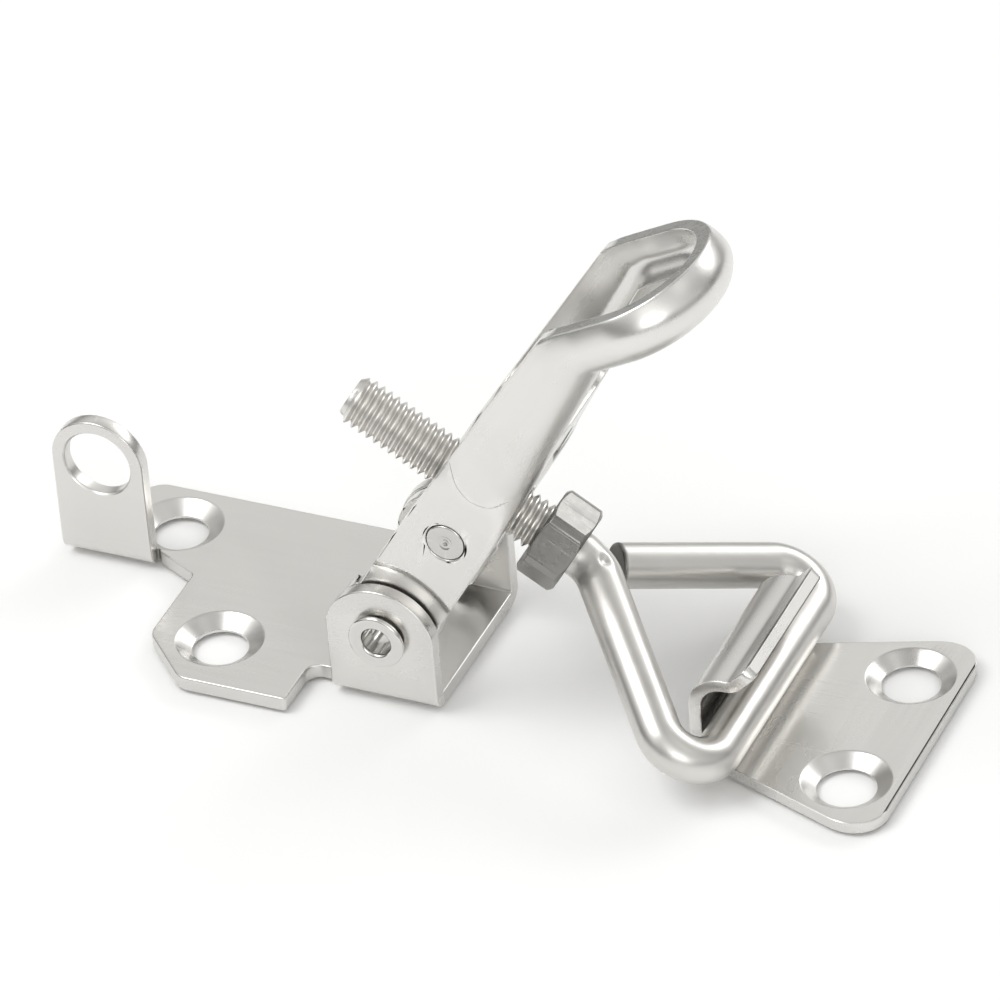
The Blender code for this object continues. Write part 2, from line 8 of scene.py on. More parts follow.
import bmesh
import bpy
from mathutils import Matrix, Vector, noise
from mathutils.bvhtree import BVHTree


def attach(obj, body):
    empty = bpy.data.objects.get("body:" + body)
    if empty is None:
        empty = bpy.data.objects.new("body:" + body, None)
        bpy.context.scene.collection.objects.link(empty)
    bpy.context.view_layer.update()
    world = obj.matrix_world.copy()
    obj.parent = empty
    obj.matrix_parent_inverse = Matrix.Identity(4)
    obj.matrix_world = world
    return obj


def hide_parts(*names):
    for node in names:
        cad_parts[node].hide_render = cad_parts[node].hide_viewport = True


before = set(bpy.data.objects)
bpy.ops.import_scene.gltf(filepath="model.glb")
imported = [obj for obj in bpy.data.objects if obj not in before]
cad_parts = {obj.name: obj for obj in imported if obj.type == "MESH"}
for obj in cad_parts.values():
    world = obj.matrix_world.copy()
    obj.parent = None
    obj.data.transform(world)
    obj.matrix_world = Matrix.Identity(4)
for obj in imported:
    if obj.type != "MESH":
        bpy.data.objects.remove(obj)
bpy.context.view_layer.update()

MM = 0.001
GAP = 0.3                      # clearance between neighbouring pieces
EDGE_ROUND = 0.2               # rounding of a sheet's edges
ROUND_ANGLES = (0, 30, 60, 90)

# Base sheet
SHEET = 1.8
PIVOT_Z = 9.2
BASE_HALF_WIDTH = 16.5
BASE_FRONT_LEFT = -29.7        # left edge of the front half
BASE_SHOULDER = -10.0          # where the wide part of the plate ends
BASE_CHAMFER = 6.5
EAR_HALF_LENGTH = 6.5
EAR_RADIUS = 6.7
EAR_TOP_CENTRE = 8.7           # height of the centre of the ear's round top
EAR_OUTER = 11.5
BEND_OUTER = 2.05
RELIEF_RADIUS = 1.75
FRONT_HOLE = (-21.7, -8.5)
REAR_HOLE = (-35.2, 9.9)
EYE_LEFT = -46.95
EYE_RIGHT = -35.6
EYE_CENTRE = (EYE_LEFT + EYE_RIGHT) / 2
EYE_FRONT = 2.9
EYE_HOLE_Z = 13.75
EYE_HOLE_RADIUS = 4.1
EYE_CHAMFER = 0.25
SCREW_RADIUS = 3.25
SINK_RADIUS = 5.15
SINK_RINGS = 10                # fine turning marks in a countersink
SINK_RING_DEPTH = 0.018
SINK_DEPTH = 1.3

# Lever
LEVER_ANGLE = radians(58.9)    # direction of the lever above +X
LEVER_SHEET = 1.8
CHEEK_OUTER = 10.9
CHEEK_END_RADIUS = 6.2
JOGGLE_INNER = 8.2             # the cheeks step inwards within this reach of the pivot
JOGGLE_OUTER = 10.6
FREE_EDGE = 5.25               # height of the open side above the lever's line
FREE_EDGE_SLOPE = 0.032
FREE_EDGE_START = 16.0         # where the free edges begin to slope
CREASE = 48.6                  # where the finger end bends away
CREASE_ANGLE = radians(31.0)
THROAT_END = 24.5              # where the web starts
TIP_LENGTH = 15.2
TIP_STRAIGHT = 5.0
TIP_RIM = 6.6
CORNER = 4.2                   # outer bend between cheek and web
THROAT_CORNER = 0.8
LEAST_CORNER = 0.3
LEAN = 1.0                     # inward lean of the walls at their free edges
SLOT_HALF_WIDTH = 6.6
SLOT_START = 34.9
SLOT_IN_TIP = 8.2
NOTCH_HALF_WIDTH = 3.9
NOTCH_END = 30.5

# Pins, bolt and nut
TRUNNION_REACH = 17.2          # from the pivot to the trunnion, along the lever
BARREL_RADIUS = 4.8
JOURNAL_RADIUS = 2.25
JOURNAL_GAP = 0.14
RIVET_HEAD_RADIUS = 3.35
RIVET_HEAD = 0.85
RIVET_SHANK_RADIUS = 2.5
RIVET_HOLE_RADIUS = RIVET_SHANK_RADIUS + GAP
RIVET_BORE_RADIUS = 1.75
RIVET_TAIL_RADIUS = 3.1
RIVET_TAIL = 0.5
BOLT_SLOPE = radians(31.0)
THREAD_RADIUS = 2.95
THREAD_DEPTH = 0.58
THREAD_PITCH = 1.0
THREAD_ROOT = 0.85             # depth of the square start of the thread
WIRE_RADIUS = 2.65
WIRE_SIDES = 72
THREAD_TAIL = 18.0             # behind the trunnion
SHANK_END = 15.0               # corner between the shank and the hook
HOOK_REACH = 37.8              # from the trunnion to the hook's cross bar
SHANK_BEND = 5.2               # bend between the shank and the hook
HOOK_BEND = 4.0
WIRE_END = (17.0, 4.8, -2.9)
WIRE_END_ROUND = 0.3
DENT = (15.6, -1.1, WIRE_RADIUS)
DENT_DEPTH = 0.45
DENT_RADIUS = 1.0
WIRE_WAVER = 0.04              # unevenness of the drawn wire
NUT_NEAR = 7.8
NUT_THICKNESS = 4.9
NUT_ACROSS_FLATS = 9.9
NUT_CORNER_RADIUS = 5.45

# Keeper
KEEPER_SHEET = 1.5
KEEPER_RIGHT = 61.2
KEEPER_CORNER = 6.0
KEEPER_LEFT = 37.35            # where the lip rises
LIP_HALF_WIDTH = 10.3
LIP_TOP = 11.2
LIP_CORNER = 1.2
LIP_FLARE = (44.3, 13.6)
KEEPER_SPREAD = 0.357          # widening of the plate away from the lip
KEEPER_HOLES = (54.9, 9.8)


# ---------------------------------------------------------------- placements

def placement(x, z, turn_down):
    """World placement of a part whose own X axis slopes down by an angle."""
    return Matrix.Translation((x * MM, 0, z * MM)) @ Matrix.Rotation(turn_down, 4, 'Y')


AT_BASE = Matrix.Identity(4)
AT_PIVOT = placement(0, PIVOT_Z, 0)
AT_LEVER = placement(0, PIVOT_Z, -LEVER_ANGLE)
TRUNNION_X = TRUNNION_REACH * cos(LEVER_ANGLE)
TRUNNION_Z = PIVOT_Z + TRUNNION_REACH * sin(LEVER_ANGLE)
AT_BOLT = placement(TRUNNION_X, TRUNNION_Z, BOLT_SLOPE)


# ---------------------------------------------------------------- mesh tools

def piece(name, shape, matrix):
    """Object from a millimetre bmesh in a part's own axes."""
    bmesh.ops.recalc_face_normals(shape, faces=shape.faces)
    closed = all(len(edge.link_faces) == 2 for edge in shape.edges)
    if closed and shape.calc_volume(signed=True) < 0.0:
        bmesh.ops.reverse_faces(shape, faces=shape.faces)
    bmesh.ops.scale(shape, vec=(MM, MM, MM), verts=shape.verts)
    bmesh.ops.transform(shape, matrix=matrix, verts=shape.verts)
    mesh = bpy.data.meshes.new(name)
    shape.to_mesh(mesh)
    shape.free()
    item = bpy.data.objects.new(name, mesh)
    bpy.context.scene.collection.objects.link(item)
    return item


def bake(item):
    """Replace the mesh with the result of its modifiers."""
    bpy.context.view_layer.update()
    graph = bpy.context.evaluated_depsgraph_get()
    mesh = bpy.data.meshes.new_from_object(item.evaluated_get(graph), depsgraph=graph)
    item.modifiers.clear()
    item.data = mesh


def cut(item, *helpers, operation='DIFFERENCE'):
    """Apply Booleans and drop the helper objects."""
    for helper in helpers:
        modifier = item.modifiers.new("cut", 'BOOLEAN')
        modifier.operation = operation
        modifier.object = helper
        modifier.solver = 'EXACT'
    bake(item)
    for helper in helpers:
        bpy.data.objects.remove(helper, do_unlink=True)


def tidy_mesh(item):
    """Merge doubled points and drop the slivers left by the Booleans."""
    shape = bmesh.new()
    shape.from_mesh(item.data)
    bmesh.ops.remove_doubles(shape, verts=shape.verts, dist=0.02 * MM)
    bmesh.ops.dissolve_degenerate(shape, dist=0.005 * MM, edges=shape.edges)
    shape.to_mesh(item.data)
    shape.free()


def round_edges(item, width, segments=3, angle=40.0):
    """Bevel the sharp edges, and draw back any corner that the bevel threw off the surface."""
    before = BVHTree.FromObject(item, bpy.context.evaluated_depsgraph_get())
    modifier = item.modifiers.new("round", 'BEVEL')
    modifier.width = width * MM
    modifier.segments = segments
    modifier.limit_method = 'ANGLE'
    modifier.angle_limit = radians(angle)
    modifier.use_clamp_overlap = False
    modifier.harden_normals = False
    bake(item)
    for vertex in item.data.vertices:
        nearest, _, _, distance = before.find_nearest(vertex.co)
        if distance > 1.2 * width * MM:
            vertex.co = nearest


def smooth(item, angle=30.0):
    """Smooth shading in which the large faces keep their own direction."""
    item.data.shade_smooth()
    item.data.set_sharp_from_angle(angle=radians(angle))
    modifier = item.modifiers.new("even_shading", 'WEIGHTED_NORMAL')
    modifier.keep_sharp = True
    modifier.weight = 60


def tube(rings):
    """Open tube through rings with equal numbers of points; also returns its rows of vertices."""
    shape = bmesh.new()
    rows = [[shape.verts.new(point) for point in ring] for ring in rings]
    count = len(rows[0])
    for low, high in zip(rows, rows[1:]):
        for i in range(count):
            j = (i + 1) % count
            shape.faces.new((low[i], low[j], high[j], high[i]))
    return shape, rows


def loft(rings):
    """Closed solid through rings, with a flat face at each end."""
    shape, rows = tube(rings)
    shape.faces.new(rows[0])
    shape.faces.new(rows[-1])
    return shape


def place(axes, across, up, along):
    """Point from two coordinates in the named plane and one across it."""
    values = {axes[0]: across, axes[1]: up}
    depth_axis = ({'x', 'y', 'z'} - set(axes)).pop()
    values[depth_axis] = along
    return Vector((values['x'], values['y'], values['z']))


def prism(outline, axes, low, high):
    """Straight solid with an outline in the named plane."""
    return loft([[place(axes, a, b, depth) for a, b in outline] for depth in (low, high)])


def arc(centre, radius, start, end, steps):
    """Points of an arc, with its ends in degrees."""
    points = []
    for i in range(steps + 1):
        angle = radians(start + (end - start) * i / steps)
        points.append((centre[0] + radius * cos(angle), centre[1] + radius * sin(angle)))
    return points


def rounded(corners, step_angle=7.0):
    """Closed outline from (a, b, radius) corners."""
    outline = []
    count = len(corners)
    for i in range(count):
        here = Vector(corners[i][:2])
        back = (Vector(corners[i - 1][:2]) - here).normalized()
        ahead = (Vector(corners[(i + 1) % count][:2]) - here).normalized()
        radius = corners[i][2]
        if radius <= 0.0:
            outline.append(tuple(here))
            continue
        half = 0.5 * acos(max(-1.0, min(1.0, back.dot(ahead))))
        middle = here + (back + ahead).normalized() * (radius / sin(half))
        first = here + back * (radius / tan(half)) - middle
        last = here + ahead * (radius / tan(half)) - middle
        turn = atan2(first.x * last.y - first.y * last.x, first.dot(last))
        steps = max(3, ceil(abs(turn) / radians(step_angle)))
        for k in range(steps + 1):
            angle = turn * k / steps
            outline.append((middle.x + first.x * cos(angle) - first.y * sin(angle),
                            middle.y + first.x * sin(angle) + first.y * cos(angle)))
    return outline


def fillet_path(points, radii, step_angle=5.0):
    """Open 3-D path with its inner corners rounded."""
    path = [Vector(points[0])]
    for i in range(1, len(points) - 1):
        here = Vector(points[i])
        back = (Vector(points[i - 1]) - here).normalized()
        ahead = (Vector(points[i + 1]) - here).normalized()
        radius = radii[i - 1]
        half = 0.5 * back.angle(ahead)
        middle = here + (back + ahead).normalized() * (radius / sin(half))
        first = here + back * (radius / tan(half)) - middle
        last = here + ahead * (radius / tan(half)) - middle
        sweep = first.angle(last)
        steps = max(3, ceil(sweep / radians(step_angle)))
        for k in range(steps + 1):
            share = k / steps
            point = first * sin((1 - share) * sweep) + last * sin(share * sweep)
            path.append(middle + point / sin(sweep))
    path.append(Vector(points[-1]))
    return path


def turned(profile, axis, segments=96):
    """Solid of revolution from closed (radius, along) points."""
    across, up = {'x': ('y', 'z'), 'y': ('x', 'z'), 'z': ('x', 'y')}[axis]
    shape = bmesh.new()
    rows = []
    for k in range(segments):
        angle = 2 * pi * k / segments
        row = []
        for radius, along in profile:
            point = place(across + up, radius * cos(angle), radius * sin(angle), along)
            row.append(shape.verts.new(point))
        rows.append(row)
    count = len(profile)
    for k in range(segments):
        low, high = rows[k], rows[(k + 1) % segments]
        for i in range(count):
            j = (i + 1) % count
            shape.faces.new((low[i], low[j], high[j], high[i]))
    return shape


def cone_stack(axis, steps, centre=(0.0, 0.0), segments=72):
    """Solid along an axis from (radius, along) steps."""
    axes = {'x': 'yz', 'y': 'xz', 'z': 'xy'}[axis]
    rings = []
    for radius, along in steps:
        circle = arc(centre, radius, 1, 361, segments)[:-1]
        rings.append([place(axes, a, b, along) for a, b in circle])
    return loft(rings)


def screw_hole(centre, top, matrix):
    """Countersunk hole with a small break at its edge."""
    steps = [(SCREW_RADIUS + 0.25, -0.5), (SCREW_RADIUS + 0.25, 0.0), (SCREW_RADIUS, 0.2),
             (SCREW_RADIUS, top - SINK_DEPTH)]
    for i in range(1, SINK_RINGS):
        share = i / SINK_RINGS
        groove = SINK_RING_DEPTH if i % 2 else -SINK_RING_DEPTH
        radius = SCREW_RADIUS + (SINK_RADIUS - 0.12 - SCREW_RADIUS) * share
        steps.append((radius + groove, top - SINK_DEPTH + (SINK_DEPTH - 0.1) * share))
    steps += [(SINK_RADIUS - 0.12, top - 0.1), (SINK_RADIUS + 0.1, top), (SINK_RADIUS + 0.1, top + 0.5)]
    return piece("cutter", cone_stack('z', steps, centre), matrix)


def sheet_section(path, thickness):
    """Closed outline of a sheet that is bent along a path."""
    left, right = [], []
    for i, point in enumerate(path):
        before = path[max(i - 1, 0)]
        after = path[min(i + 1, len(path) - 1)]
        run = (Vector(after) - Vector(before)).normalized()
        side = Vector((-run.y, run.x)) * (thickness / 2)
        left.append((point[0] + side.x, point[1] + side.y))
        right.append((point[0] - side.x, point[1] - side.y))
    return left + right[::-1]


# ---------------------------------------------------------------- materials

NOISE_SIZE = 0.060             # a noise scale of 1 has one wave in about this length, in metres
BUMP_HEIGHT = 0.00004
SHEARED_COLOUR = (0.20, 0.195, 0.185, 1.0)


class NodeTree:
    """Adds nodes to one tree. An input is either a value or the output that's linked to it."""

    def __init__(self, tree):
        self.tree = tree

    def feed(self, node, inputs):
        """Set or link a node's inputs by name."""
        for name, value in inputs.items():
            socket = node.inputs[name]
            if isinstance(value, bpy.types.NodeSocket):
                self.tree.links.new(value, socket)
            else:
                socket.default_value = value

    def add(self, kind, inputs=None):
        """New node of a kind, with its inputs."""
        node = self.tree.nodes.new(kind)
        self.feed(node, inputs or {})
        return node

    def noise(self, coordinates, scale, detail, rough=0.5, distortion=0.0):
        """Noise with its own scale along each axis."""
        per_metre = [value / NOISE_SIZE for value in scale]
        mapping = self.add("ShaderNodeMapping", {"Vector": coordinates, "Scale": per_metre})
        texture = self.add("ShaderNodeTexNoise", {"Vector": mapping.outputs["Vector"], "Scale": 1.0,
                                                  "Detail": detail, "Roughness": rough,
                                                  "Distortion": distortion})
        return texture.outputs["Fac"]

    def ranged(self, value, low, high, to_low, to_high):
        """Value mapped from one range to another."""
        node = self.add("ShaderNodeMapRange", {"Value": value, "From Min": low, "From Max": high,
                                               "To Min": to_low, "To Max": to_high})
        return node.outputs["Result"]

    def combined(self, operation, first, second):
        """Result of a Math node."""
        node = self.add("ShaderNodeMath", {0: first, 1: second})
        node.operation = operation
        return node.outputs["Value"]

    def blended(self, first, second, share, blend_type='MIX'):
        """Mix of two colours."""
        node = self.add("ShaderNodeMix")
        node.data_type = 'RGBA'
        node.blend_type = blend_type
        self.feed(node, {"A": first, "B": second, "Factor": share})
        return node.outputs["Result"]


def steel(name, colour, roughness, grain=(4.0, 60.0, 60.0), grain_depth=0.25, blotch=0.06, wear=0.10,
          turn=0.0, sheared=None):
    """Stainless steel with a directional grain, uneven polish and fine scratches; its convex edges are
    smoother from wear and are also lighter in colour, a painted highlight.

    The surface within a wire's radius of the sheared point is given a darker colour.
    """
    material = bpy.data.materials.new(name)
    material.use_nodes = True
    shader = material.node_tree.nodes["Principled BSDF"]
    tree = NodeTree(material.node_tree)
    on_part = tree.add("ShaderNodeTexCoord").outputs["Object"]
    rotated = tree.add("ShaderNodeVectorRotate")
    rotated.rotation_type = 'Y_AXIS'
    tree.feed(rotated, {"Vector": on_part, "Angle": -turn})
    along_part = rotated.outputs["Vector"]

    grain_value = tree.noise(along_part, grain, 6.0, 0.6)
    cloud = tree.noise(along_part, (3.0, 3.0, 3.0), 4.0, 0.55, 0.6)
    pits = tree.noise(along_part, (90.0, 90.0, 90.0), 3.0)
    scratches = tree.noise(along_part, (2.0, 150.0, 40.0), 2.0, 0.4, 1.5)
    scratch_mask = tree.ranged(scratches, 0.66, 0.72, 0.0, 1.0)
    pointiness = tree.add("ShaderNodeNewGeometry").outputs["Pointiness"]
    # convex edges: smoother for wear, and lighter in colour as a painted highlight
    edge = tree.ranged(pointiness, 0.51, 0.58, 0.0, 1.0)

    rough = tree.combined('ADD', tree.ranged(cloud, 0.3, 0.7, roughness - blotch, roughness + blotch),
                          tree.ranged(grain_value, 0.3, 0.7, -0.03, 0.05))
    rough = tree.combined('SUBTRACT', rough, tree.combined('MULTIPLY', edge, wear))
    rough = tree.combined('ADD', rough, tree.combined('MULTIPLY', scratch_mask, 0.05))

    dark = [channel * 0.90 for channel in colour]
    # lighter colour for the convex edges: a painted edge highlight
    light = [min(1.0, channel * 1.12) for channel in colour]
    look = tree.blended((*dark, 1.0), (*colour, 1.0), tree.ranged(cloud, 0.25, 0.6, 0.0, 1.0))
    # painted highlight: convex edges blended towards the lighter colour
    look = tree.blended(look, (*light, 1.0), edge)
    if sheared:
        distance = tree.add("ShaderNodeVectorMath")
        distance.operation = 'DISTANCE'
        tree.feed(distance, {0: on_part, 1: sheared})
        reach = WIRE_RADIUS * MM
        cut_end = tree.ranged(distance.outputs["Value"], reach * 0.995, reach * 1.015, 1.0, 0.0)
        look = tree.blended(look, SHEARED_COLOUR, cut_end)

    height = tree.combined('ADD', grain_value, tree.combined('MULTIPLY', pits, 0.25))
    height = tree.combined('SUBTRACT', height, tree.combined('MULTIPLY', scratch_mask, 0.35))
    bump = tree.add("ShaderNodeBump", {"Strength": grain_depth, "Distance": BUMP_HEIGHT, "Height": height})
    tree.feed(shader, {"Metallic": 1.0, "Base Color": look, "Roughness": rough,
                       "Normal": bump.outputs["Normal"]})
    return material


def dress(item, material, body, node):
    """Give a piece its material, hang it on the body it rides on, and hide the CAD solid that it replaces."""
    item.data.materials.clear()
    item.data.materials.append(material)
    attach(item, body)
    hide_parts(node)


# ---------------------------------------------------------------- base

def inset_outline(outline, depth):
    """Closed counter-clockwise outline moved inwards."""
    moved = []
    count = len(outline)
    for i in range(count):
        here = Vector(outline[i])
        back = (here - Vector(outline[i - 1])).normalized()
        ahead = (Vector(outline[(i + 1) % count]) - here).normalized()
        inward = Vector((-back.y - ahead.y, back.x + ahead.x))
        if inward.length < 1e-6:
            inward = Vector((-back.y, back.x))
        inward.normalize()
        lean = max(0.5, inward.dot(Vector((-back.y, back.x))))
        moved.append(tuple(here + inward * (depth / lean)))
    return moved


def edge_steps():
    """Rounding of a sheet's edge, as (inset, depth) steps from the face to the side."""
    return [(EDGE_ROUND * (1 - sin(radians(a))), EDGE_ROUND * (1 - cos(radians(a)))) for a in ROUND_ANGLES]


def soft_prism(outline, axes, low, high):
    """Prism whose two end faces have rounded edges."""
    area = 0.0
    for before, here in zip([outline[-1]] + outline[:-1], outline):
        area += before[0] * here[1] - here[0] * before[1]
    if area < 0.0:
        outline = outline[::-1]
    rings = []
    steps = edge_steps()
    for inset, depth in steps:
        rings.append([place(axes, a, b, low + depth) for a, b in inset_outline(outline, inset)])
    for inset, depth in reversed(steps):
        rings.append([place(axes, a, b, high - depth) for a, b in inset_outline(outline, inset)])
    return loft(rings)


def plate_outline():
    """Plan of the flat plate, with the relief cuts beside the ears."""
    flat_start = EAR_OUTER - BEND_OUTER
    eye_flat = EYE_FRONT + BEND_OUTER
    wide = BASE_HALF_WIDTH
    relief_y = flat_start + RELIEF_RADIUS
    half_relief = [(BASE_SHOULDER, relief_y)]
    half_relief += arc((BASE_SHOULDER + RELIEF_RADIUS, relief_y), RELIEF_RADIUS, 180, 270, 14)[1:]
    half_relief += [(-EAR_HALF_LENGTH + 0.6, flat_start)]
    outline = rounded([
        (BASE_SHOULDER, wide, 0.5),
        (EYE_LEFT + BASE_CHAMFER, wide, 2.5),
        (EYE_LEFT, wide - BASE_CHAMFER, 2.5),
        (EYE_LEFT, eye_flat + 0.1, 0.0),
        (EYE_RIGHT, eye_flat + 0.1, 0.0),
        (EYE_RIGHT + 0.5, EYE_FRONT + 1.4, 0.6),
        (BASE_FRONT_LEFT, 1.6, 0.9),
        (BASE_FRONT_LEFT, BASE_CHAMFER - wide, 2.5),
        (BASE_FRONT_LEFT + BASE_CHAMFER, -wide, 2.5),
        (BASE_SHOULDER, -wide, 0.5),
    ])
    outline += [(x, -y) for x, y in half_relief]
    outline += [(EAR_HALF_LENGTH - 0.6, -flat_start), (EAR_HALF_LENGTH - 0.6, flat_start)]
    return outline + half_relief[::-1]


def make_ears():
    """Strip bent up at both ends, trimmed to two round-topped ears."""
    half_t = SHEET / 2
    ear_middle = EAR_OUTER - half_t
    ear_top = EAR_TOP_CENTRE + EAR_RADIUS + 1.0
    bend = BEND_OUTER - half_t
    path = fillet_path([(0, -ear_middle, ear_top), (0, -ear_middle, half_t),
                        (0, ear_middle, half_t), (0, ear_middle, ear_top)], [bend, bend], 7.0)
    section = sheet_section([(p.y, p.z) for p in path], SHEET)
    ears = piece("ears", soft_prism(section, 'yz', -EAR_HALF_LENGTH, EAR_HALF_LENGTH), AT_BASE)

    outline = arc((0, EAR_TOP_CENTRE), EAR_RADIUS, 0, 180, 60)
    outline += [(-EAR_RADIUS, -1.0), (EAR_RADIUS, -1.0)]
    steps = edge_steps()
    places = [(EAR_OUTER + 0.5, EDGE_ROUND)]
    places += [(EAR_OUTER - depth, inset) for inset, depth in steps]
    places += [(EAR_OUTER - SHEET + depth, inset) for inset, depth in reversed(steps)]
    places += [(-y, inset) for y, inset in reversed(places)]
    rings = [[Vector((x, y, z)) for x, z in inset_outline(outline, inset)] for y, inset in places]
    cut(ears, piece("cutter", loft(rings), AT_BASE), operation='INTERSECT')
    return ears


def make_eye():
    """Strip bent up once, trimmed to the round-topped padlock eye."""
    half_t = SHEET / 2
    top_radius = (EYE_RIGHT - EYE_LEFT) / 2
    eye_middle = EYE_FRONT + half_t
    path = fillet_path([(0, eye_middle, EYE_HOLE_Z + top_radius + 1), (0, eye_middle, half_t),
                        (0, EYE_FRONT + BEND_OUTER + 1.0, half_t)], [BEND_OUTER - half_t], 7.0)
    section = sheet_section([(p.y, p.z) for p in path], SHEET)
    eye = piece("eye", soft_prism(section, 'yz', EYE_LEFT, EYE_RIGHT), AT_BASE)

    outline = arc((EYE_CENTRE, EYE_HOLE_Z), top_radius + 0.01, 0, 180, 60)
    outline += [(EYE_LEFT, 1.4), (EYE_LEFT + 0.15, 0.8), (EYE_LEFT + 0.5, -0.2), (EYE_LEFT + 0.5, -1.0),
                (EYE_RIGHT, -1.0)]
    steps = edge_steps()
    places = [(EYE_FRONT - 0.5, EDGE_ROUND)]
    places += [(EYE_FRONT + depth, inset) for inset, depth in steps]
    places += [(EYE_FRONT + SHEET - depth, inset) for inset, depth in reversed(steps)]
    places += [(EYE_FRONT + SHEET + 0.05, 0.0), (10.0, 0.0)]
    rings = [[Vector((x, y, z)) for x, z in inset_outline(outline, inset)] for y, inset in places]
    cut(eye, piece("cutter", loft(rings), AT_BASE), operation='INTERSECT')
    return eye


def make_base():
    """Plate, ears and padlock eye from one sheet, with the holes cut at the end."""
    base = piece("latch_base", soft_prism(plate_outline(), 'xy', 0.0, SHEET), AT_BASE)
    cut(base, make_ears(), make_eye(), operation='UNION')

    radius = EYE_HOLE_RADIUS
    back = EYE_FRONT + SHEET
    steps = ((radius + EYE_CHAMFER + 0.3, EYE_FRONT - 0.3), (radius + 0.06, EYE_FRONT + 0.15),
             (radius, EYE_FRONT + EYE_CHAMFER), (radius, back - EYE_CHAMFER),
             (radius + 0.06, back - 0.15), (radius + EYE_CHAMFER + 0.3, back + 0.3))
    eye_hole = piece("cutter", cone_stack('y', steps, (EYE_CENTRE, EYE_HOLE_Z)), AT_BASE)
    steps = ((RIVET_HOLE_RADIUS, -14), (RIVET_HOLE_RADIUS, 14))
    pivot_hole = piece("cutter", cone_stack('y', steps, (0, PIVOT_Z)), AT_BASE)
    cut(base, eye_hole, pivot_hole, screw_hole(FRONT_HOLE, SHEET, AT_BASE),
        screw_hole(REAR_HOLE, SHEET, AT_BASE))
    tidy_mesh(base)
    smooth(base, 32.0)
    look = steel("base_sheet", (0.69, 0.68, 0.66), 0.32, grain=(3.0, 50.0, 50.0), grain_depth=0.18)
    dress(base, look, "base", "base_plate")


# ---------------------------------------------------------------- lever

def smooth_step(value):
    """Smooth rise from 0 to 1 as the value goes from 0 to 1."""
    share = max(0.0, min(1.0, value))
    return share * share * (3 - 2 * share)


def web_height(along):
    """Height of the web's outer face over the lever's line."""
    return -5.0 + 0.056 * (max(along, 12.0) - 16.0)


def free_edge(along):
    """Height of the open side over the lever's line."""
    return FREE_EDGE - FREE_EDGE_SLOPE * max(0.0, along - FREE_EDGE_START)


def corner_inset(level, corner):
    """How far a rounded corner draws a wall in at a level over its foot."""
    if level >= corner:
        return 0.0
    return corner - sqrt(max(0.0, corner ** 2 - (corner - level) ** 2))


def lean_inset(height, rim):
    """How far a wall leans in at a height, out of the height of its rim."""
    middle = 0.45 * rim
    share = (min(height, rim + 1.0) - middle) / (rim - middle)
    return LEAN * max(0.0, share) ** 2


def half_width(along, height, level, inset):
    """Distance of a cheek face from the middle, at a place in the side view."""
    share = smooth_step((along - 22.0) / 6.0)
    corner = max(THROAT_CORNER + (CORNER - THROAT_CORNER) * share - inset, LEAST_CORNER)
    reach = hypot(along, height)
    step_in = 1.0 - smooth_step((reach - JOGGLE_INNER) / (JOGGLE_OUTER - JOGGLE_INNER))
    rim = free_edge(along) - web_height(along)
    width = CHEEK_OUTER - inset - (CHEEK_OUTER - EAR_OUTER + SHEET + GAP) * step_in
    return width - corner_inset(level - inset, corner) - share * lean_inset(level, rim)


def tip_point(along, across, level):
    """Point of the finger end, turned at the crease into the lever's axes."""
    return Vector((CREASE + along * cos(CREASE_ANGLE) + level * sin(CREASE_ANGLE), across,
                   web_height(CREASE) - along * sin(CREASE_ANGLE) + level * cos(CREASE_ANGLE)))


def lever_layer(level, inset, stations, throat_drop=0.0):
    """Mirrored outline of the lever at a level over the web's outer face."""
    front = []
    for along in stations:
        height = web_height(along) + level
        drop = throat_drop if along < THROAT_END else 0.0
        front.append(Vector((along, -half_width(along, height, level, inset), height - drop)))
    corner = max(CORNER - inset, LEAST_CORNER)
    shrink = inset + corner_inset(level - inset, corner) + lean_inset(level, TIP_RIM)
    half = CHEEK_OUTER - shrink
    reach = TIP_LENGTH - TIP_STRAIGHT - shrink
    for along in (0.3, 1.0, 2.3, 3.7):
        front.append(tip_point(along, -half, level))
    steps = 61
    for i in range(steps // 2 + 1):
        angle = radians(-90 + 180 * i / steps)
        front.append(tip_point(TIP_STRAIGHT + reach * cos(angle), half * sin(angle), level))
    rear = [Vector((point.x, -point.y, point.z)) for point in reversed(front)]
    return front + rear


def mirrored_loft(rings):
    """Closed solid through mirrored outlines; the end caps follow the bend of the outline."""
    shape, rows = tube(rings)
    count = len(rows[0])
    for row in (rows[0], rows[-1]):
        for i in range(count // 2 - 1):
            shape.faces.new((row[i], row[i + 1], row[count - 2 - i], row[count - 1 - i]))
    return shape


def lever_block(inset, stations, top, throat_drop=0.0):
    """The lever's outer form, drawn in by an inset, from the web up to a level."""
    corner = max(CORNER - inset, LEAST_CORNER)
    levels = [inset + corner * (1 - cos(radians(a))) for a in range(0, 91, 9)]
    start = levels[-1]
    wall_steps = 24
    levels += [start + (top - start) * (i + 1) / wall_steps for i in range(wall_steps)]
    rings = [lever_layer(levels[0], inset, stations, throat_drop)]
    rings += [lever_layer(level, inset, stations) for level in levels[1:]]
    return mirrored_loft(rings)


def slot_cutter(half):
    """One cutter for the slot in the web and the window in the finger end."""
    rings = []
    low = web_height(CREASE) - 3.5
    for along, width in ((0.0, half - 2.0), (0.25, half - 1.2), (0.7, half - 0.6), (1.3, half - 0.2),
                         (2.0, half), (CREASE - 2.0 - SLOT_START, half)):
        corners = [(-width, low), (width, low), (width, 0.2), (-width, 0.2)]
        rings.append([Vector((SLOT_START + along, y, z)) for y, z in corners])
    end = SLOT_IN_TIP
    for along, width in ((1.5, half), (end - 3.5, half), (end - 2.0, half - 0.35), (end - 1.0, half - 1.0),
                         (end - 0.35, half - 1.9), (end, half - 3.2)):
        corners = [(-width, -3.5), (width, -3.5), (width, 3.4), (-width, 3.4)]
        rings.append([tip_point(along, y, level) for y, level in corners])
    return loft(rings)


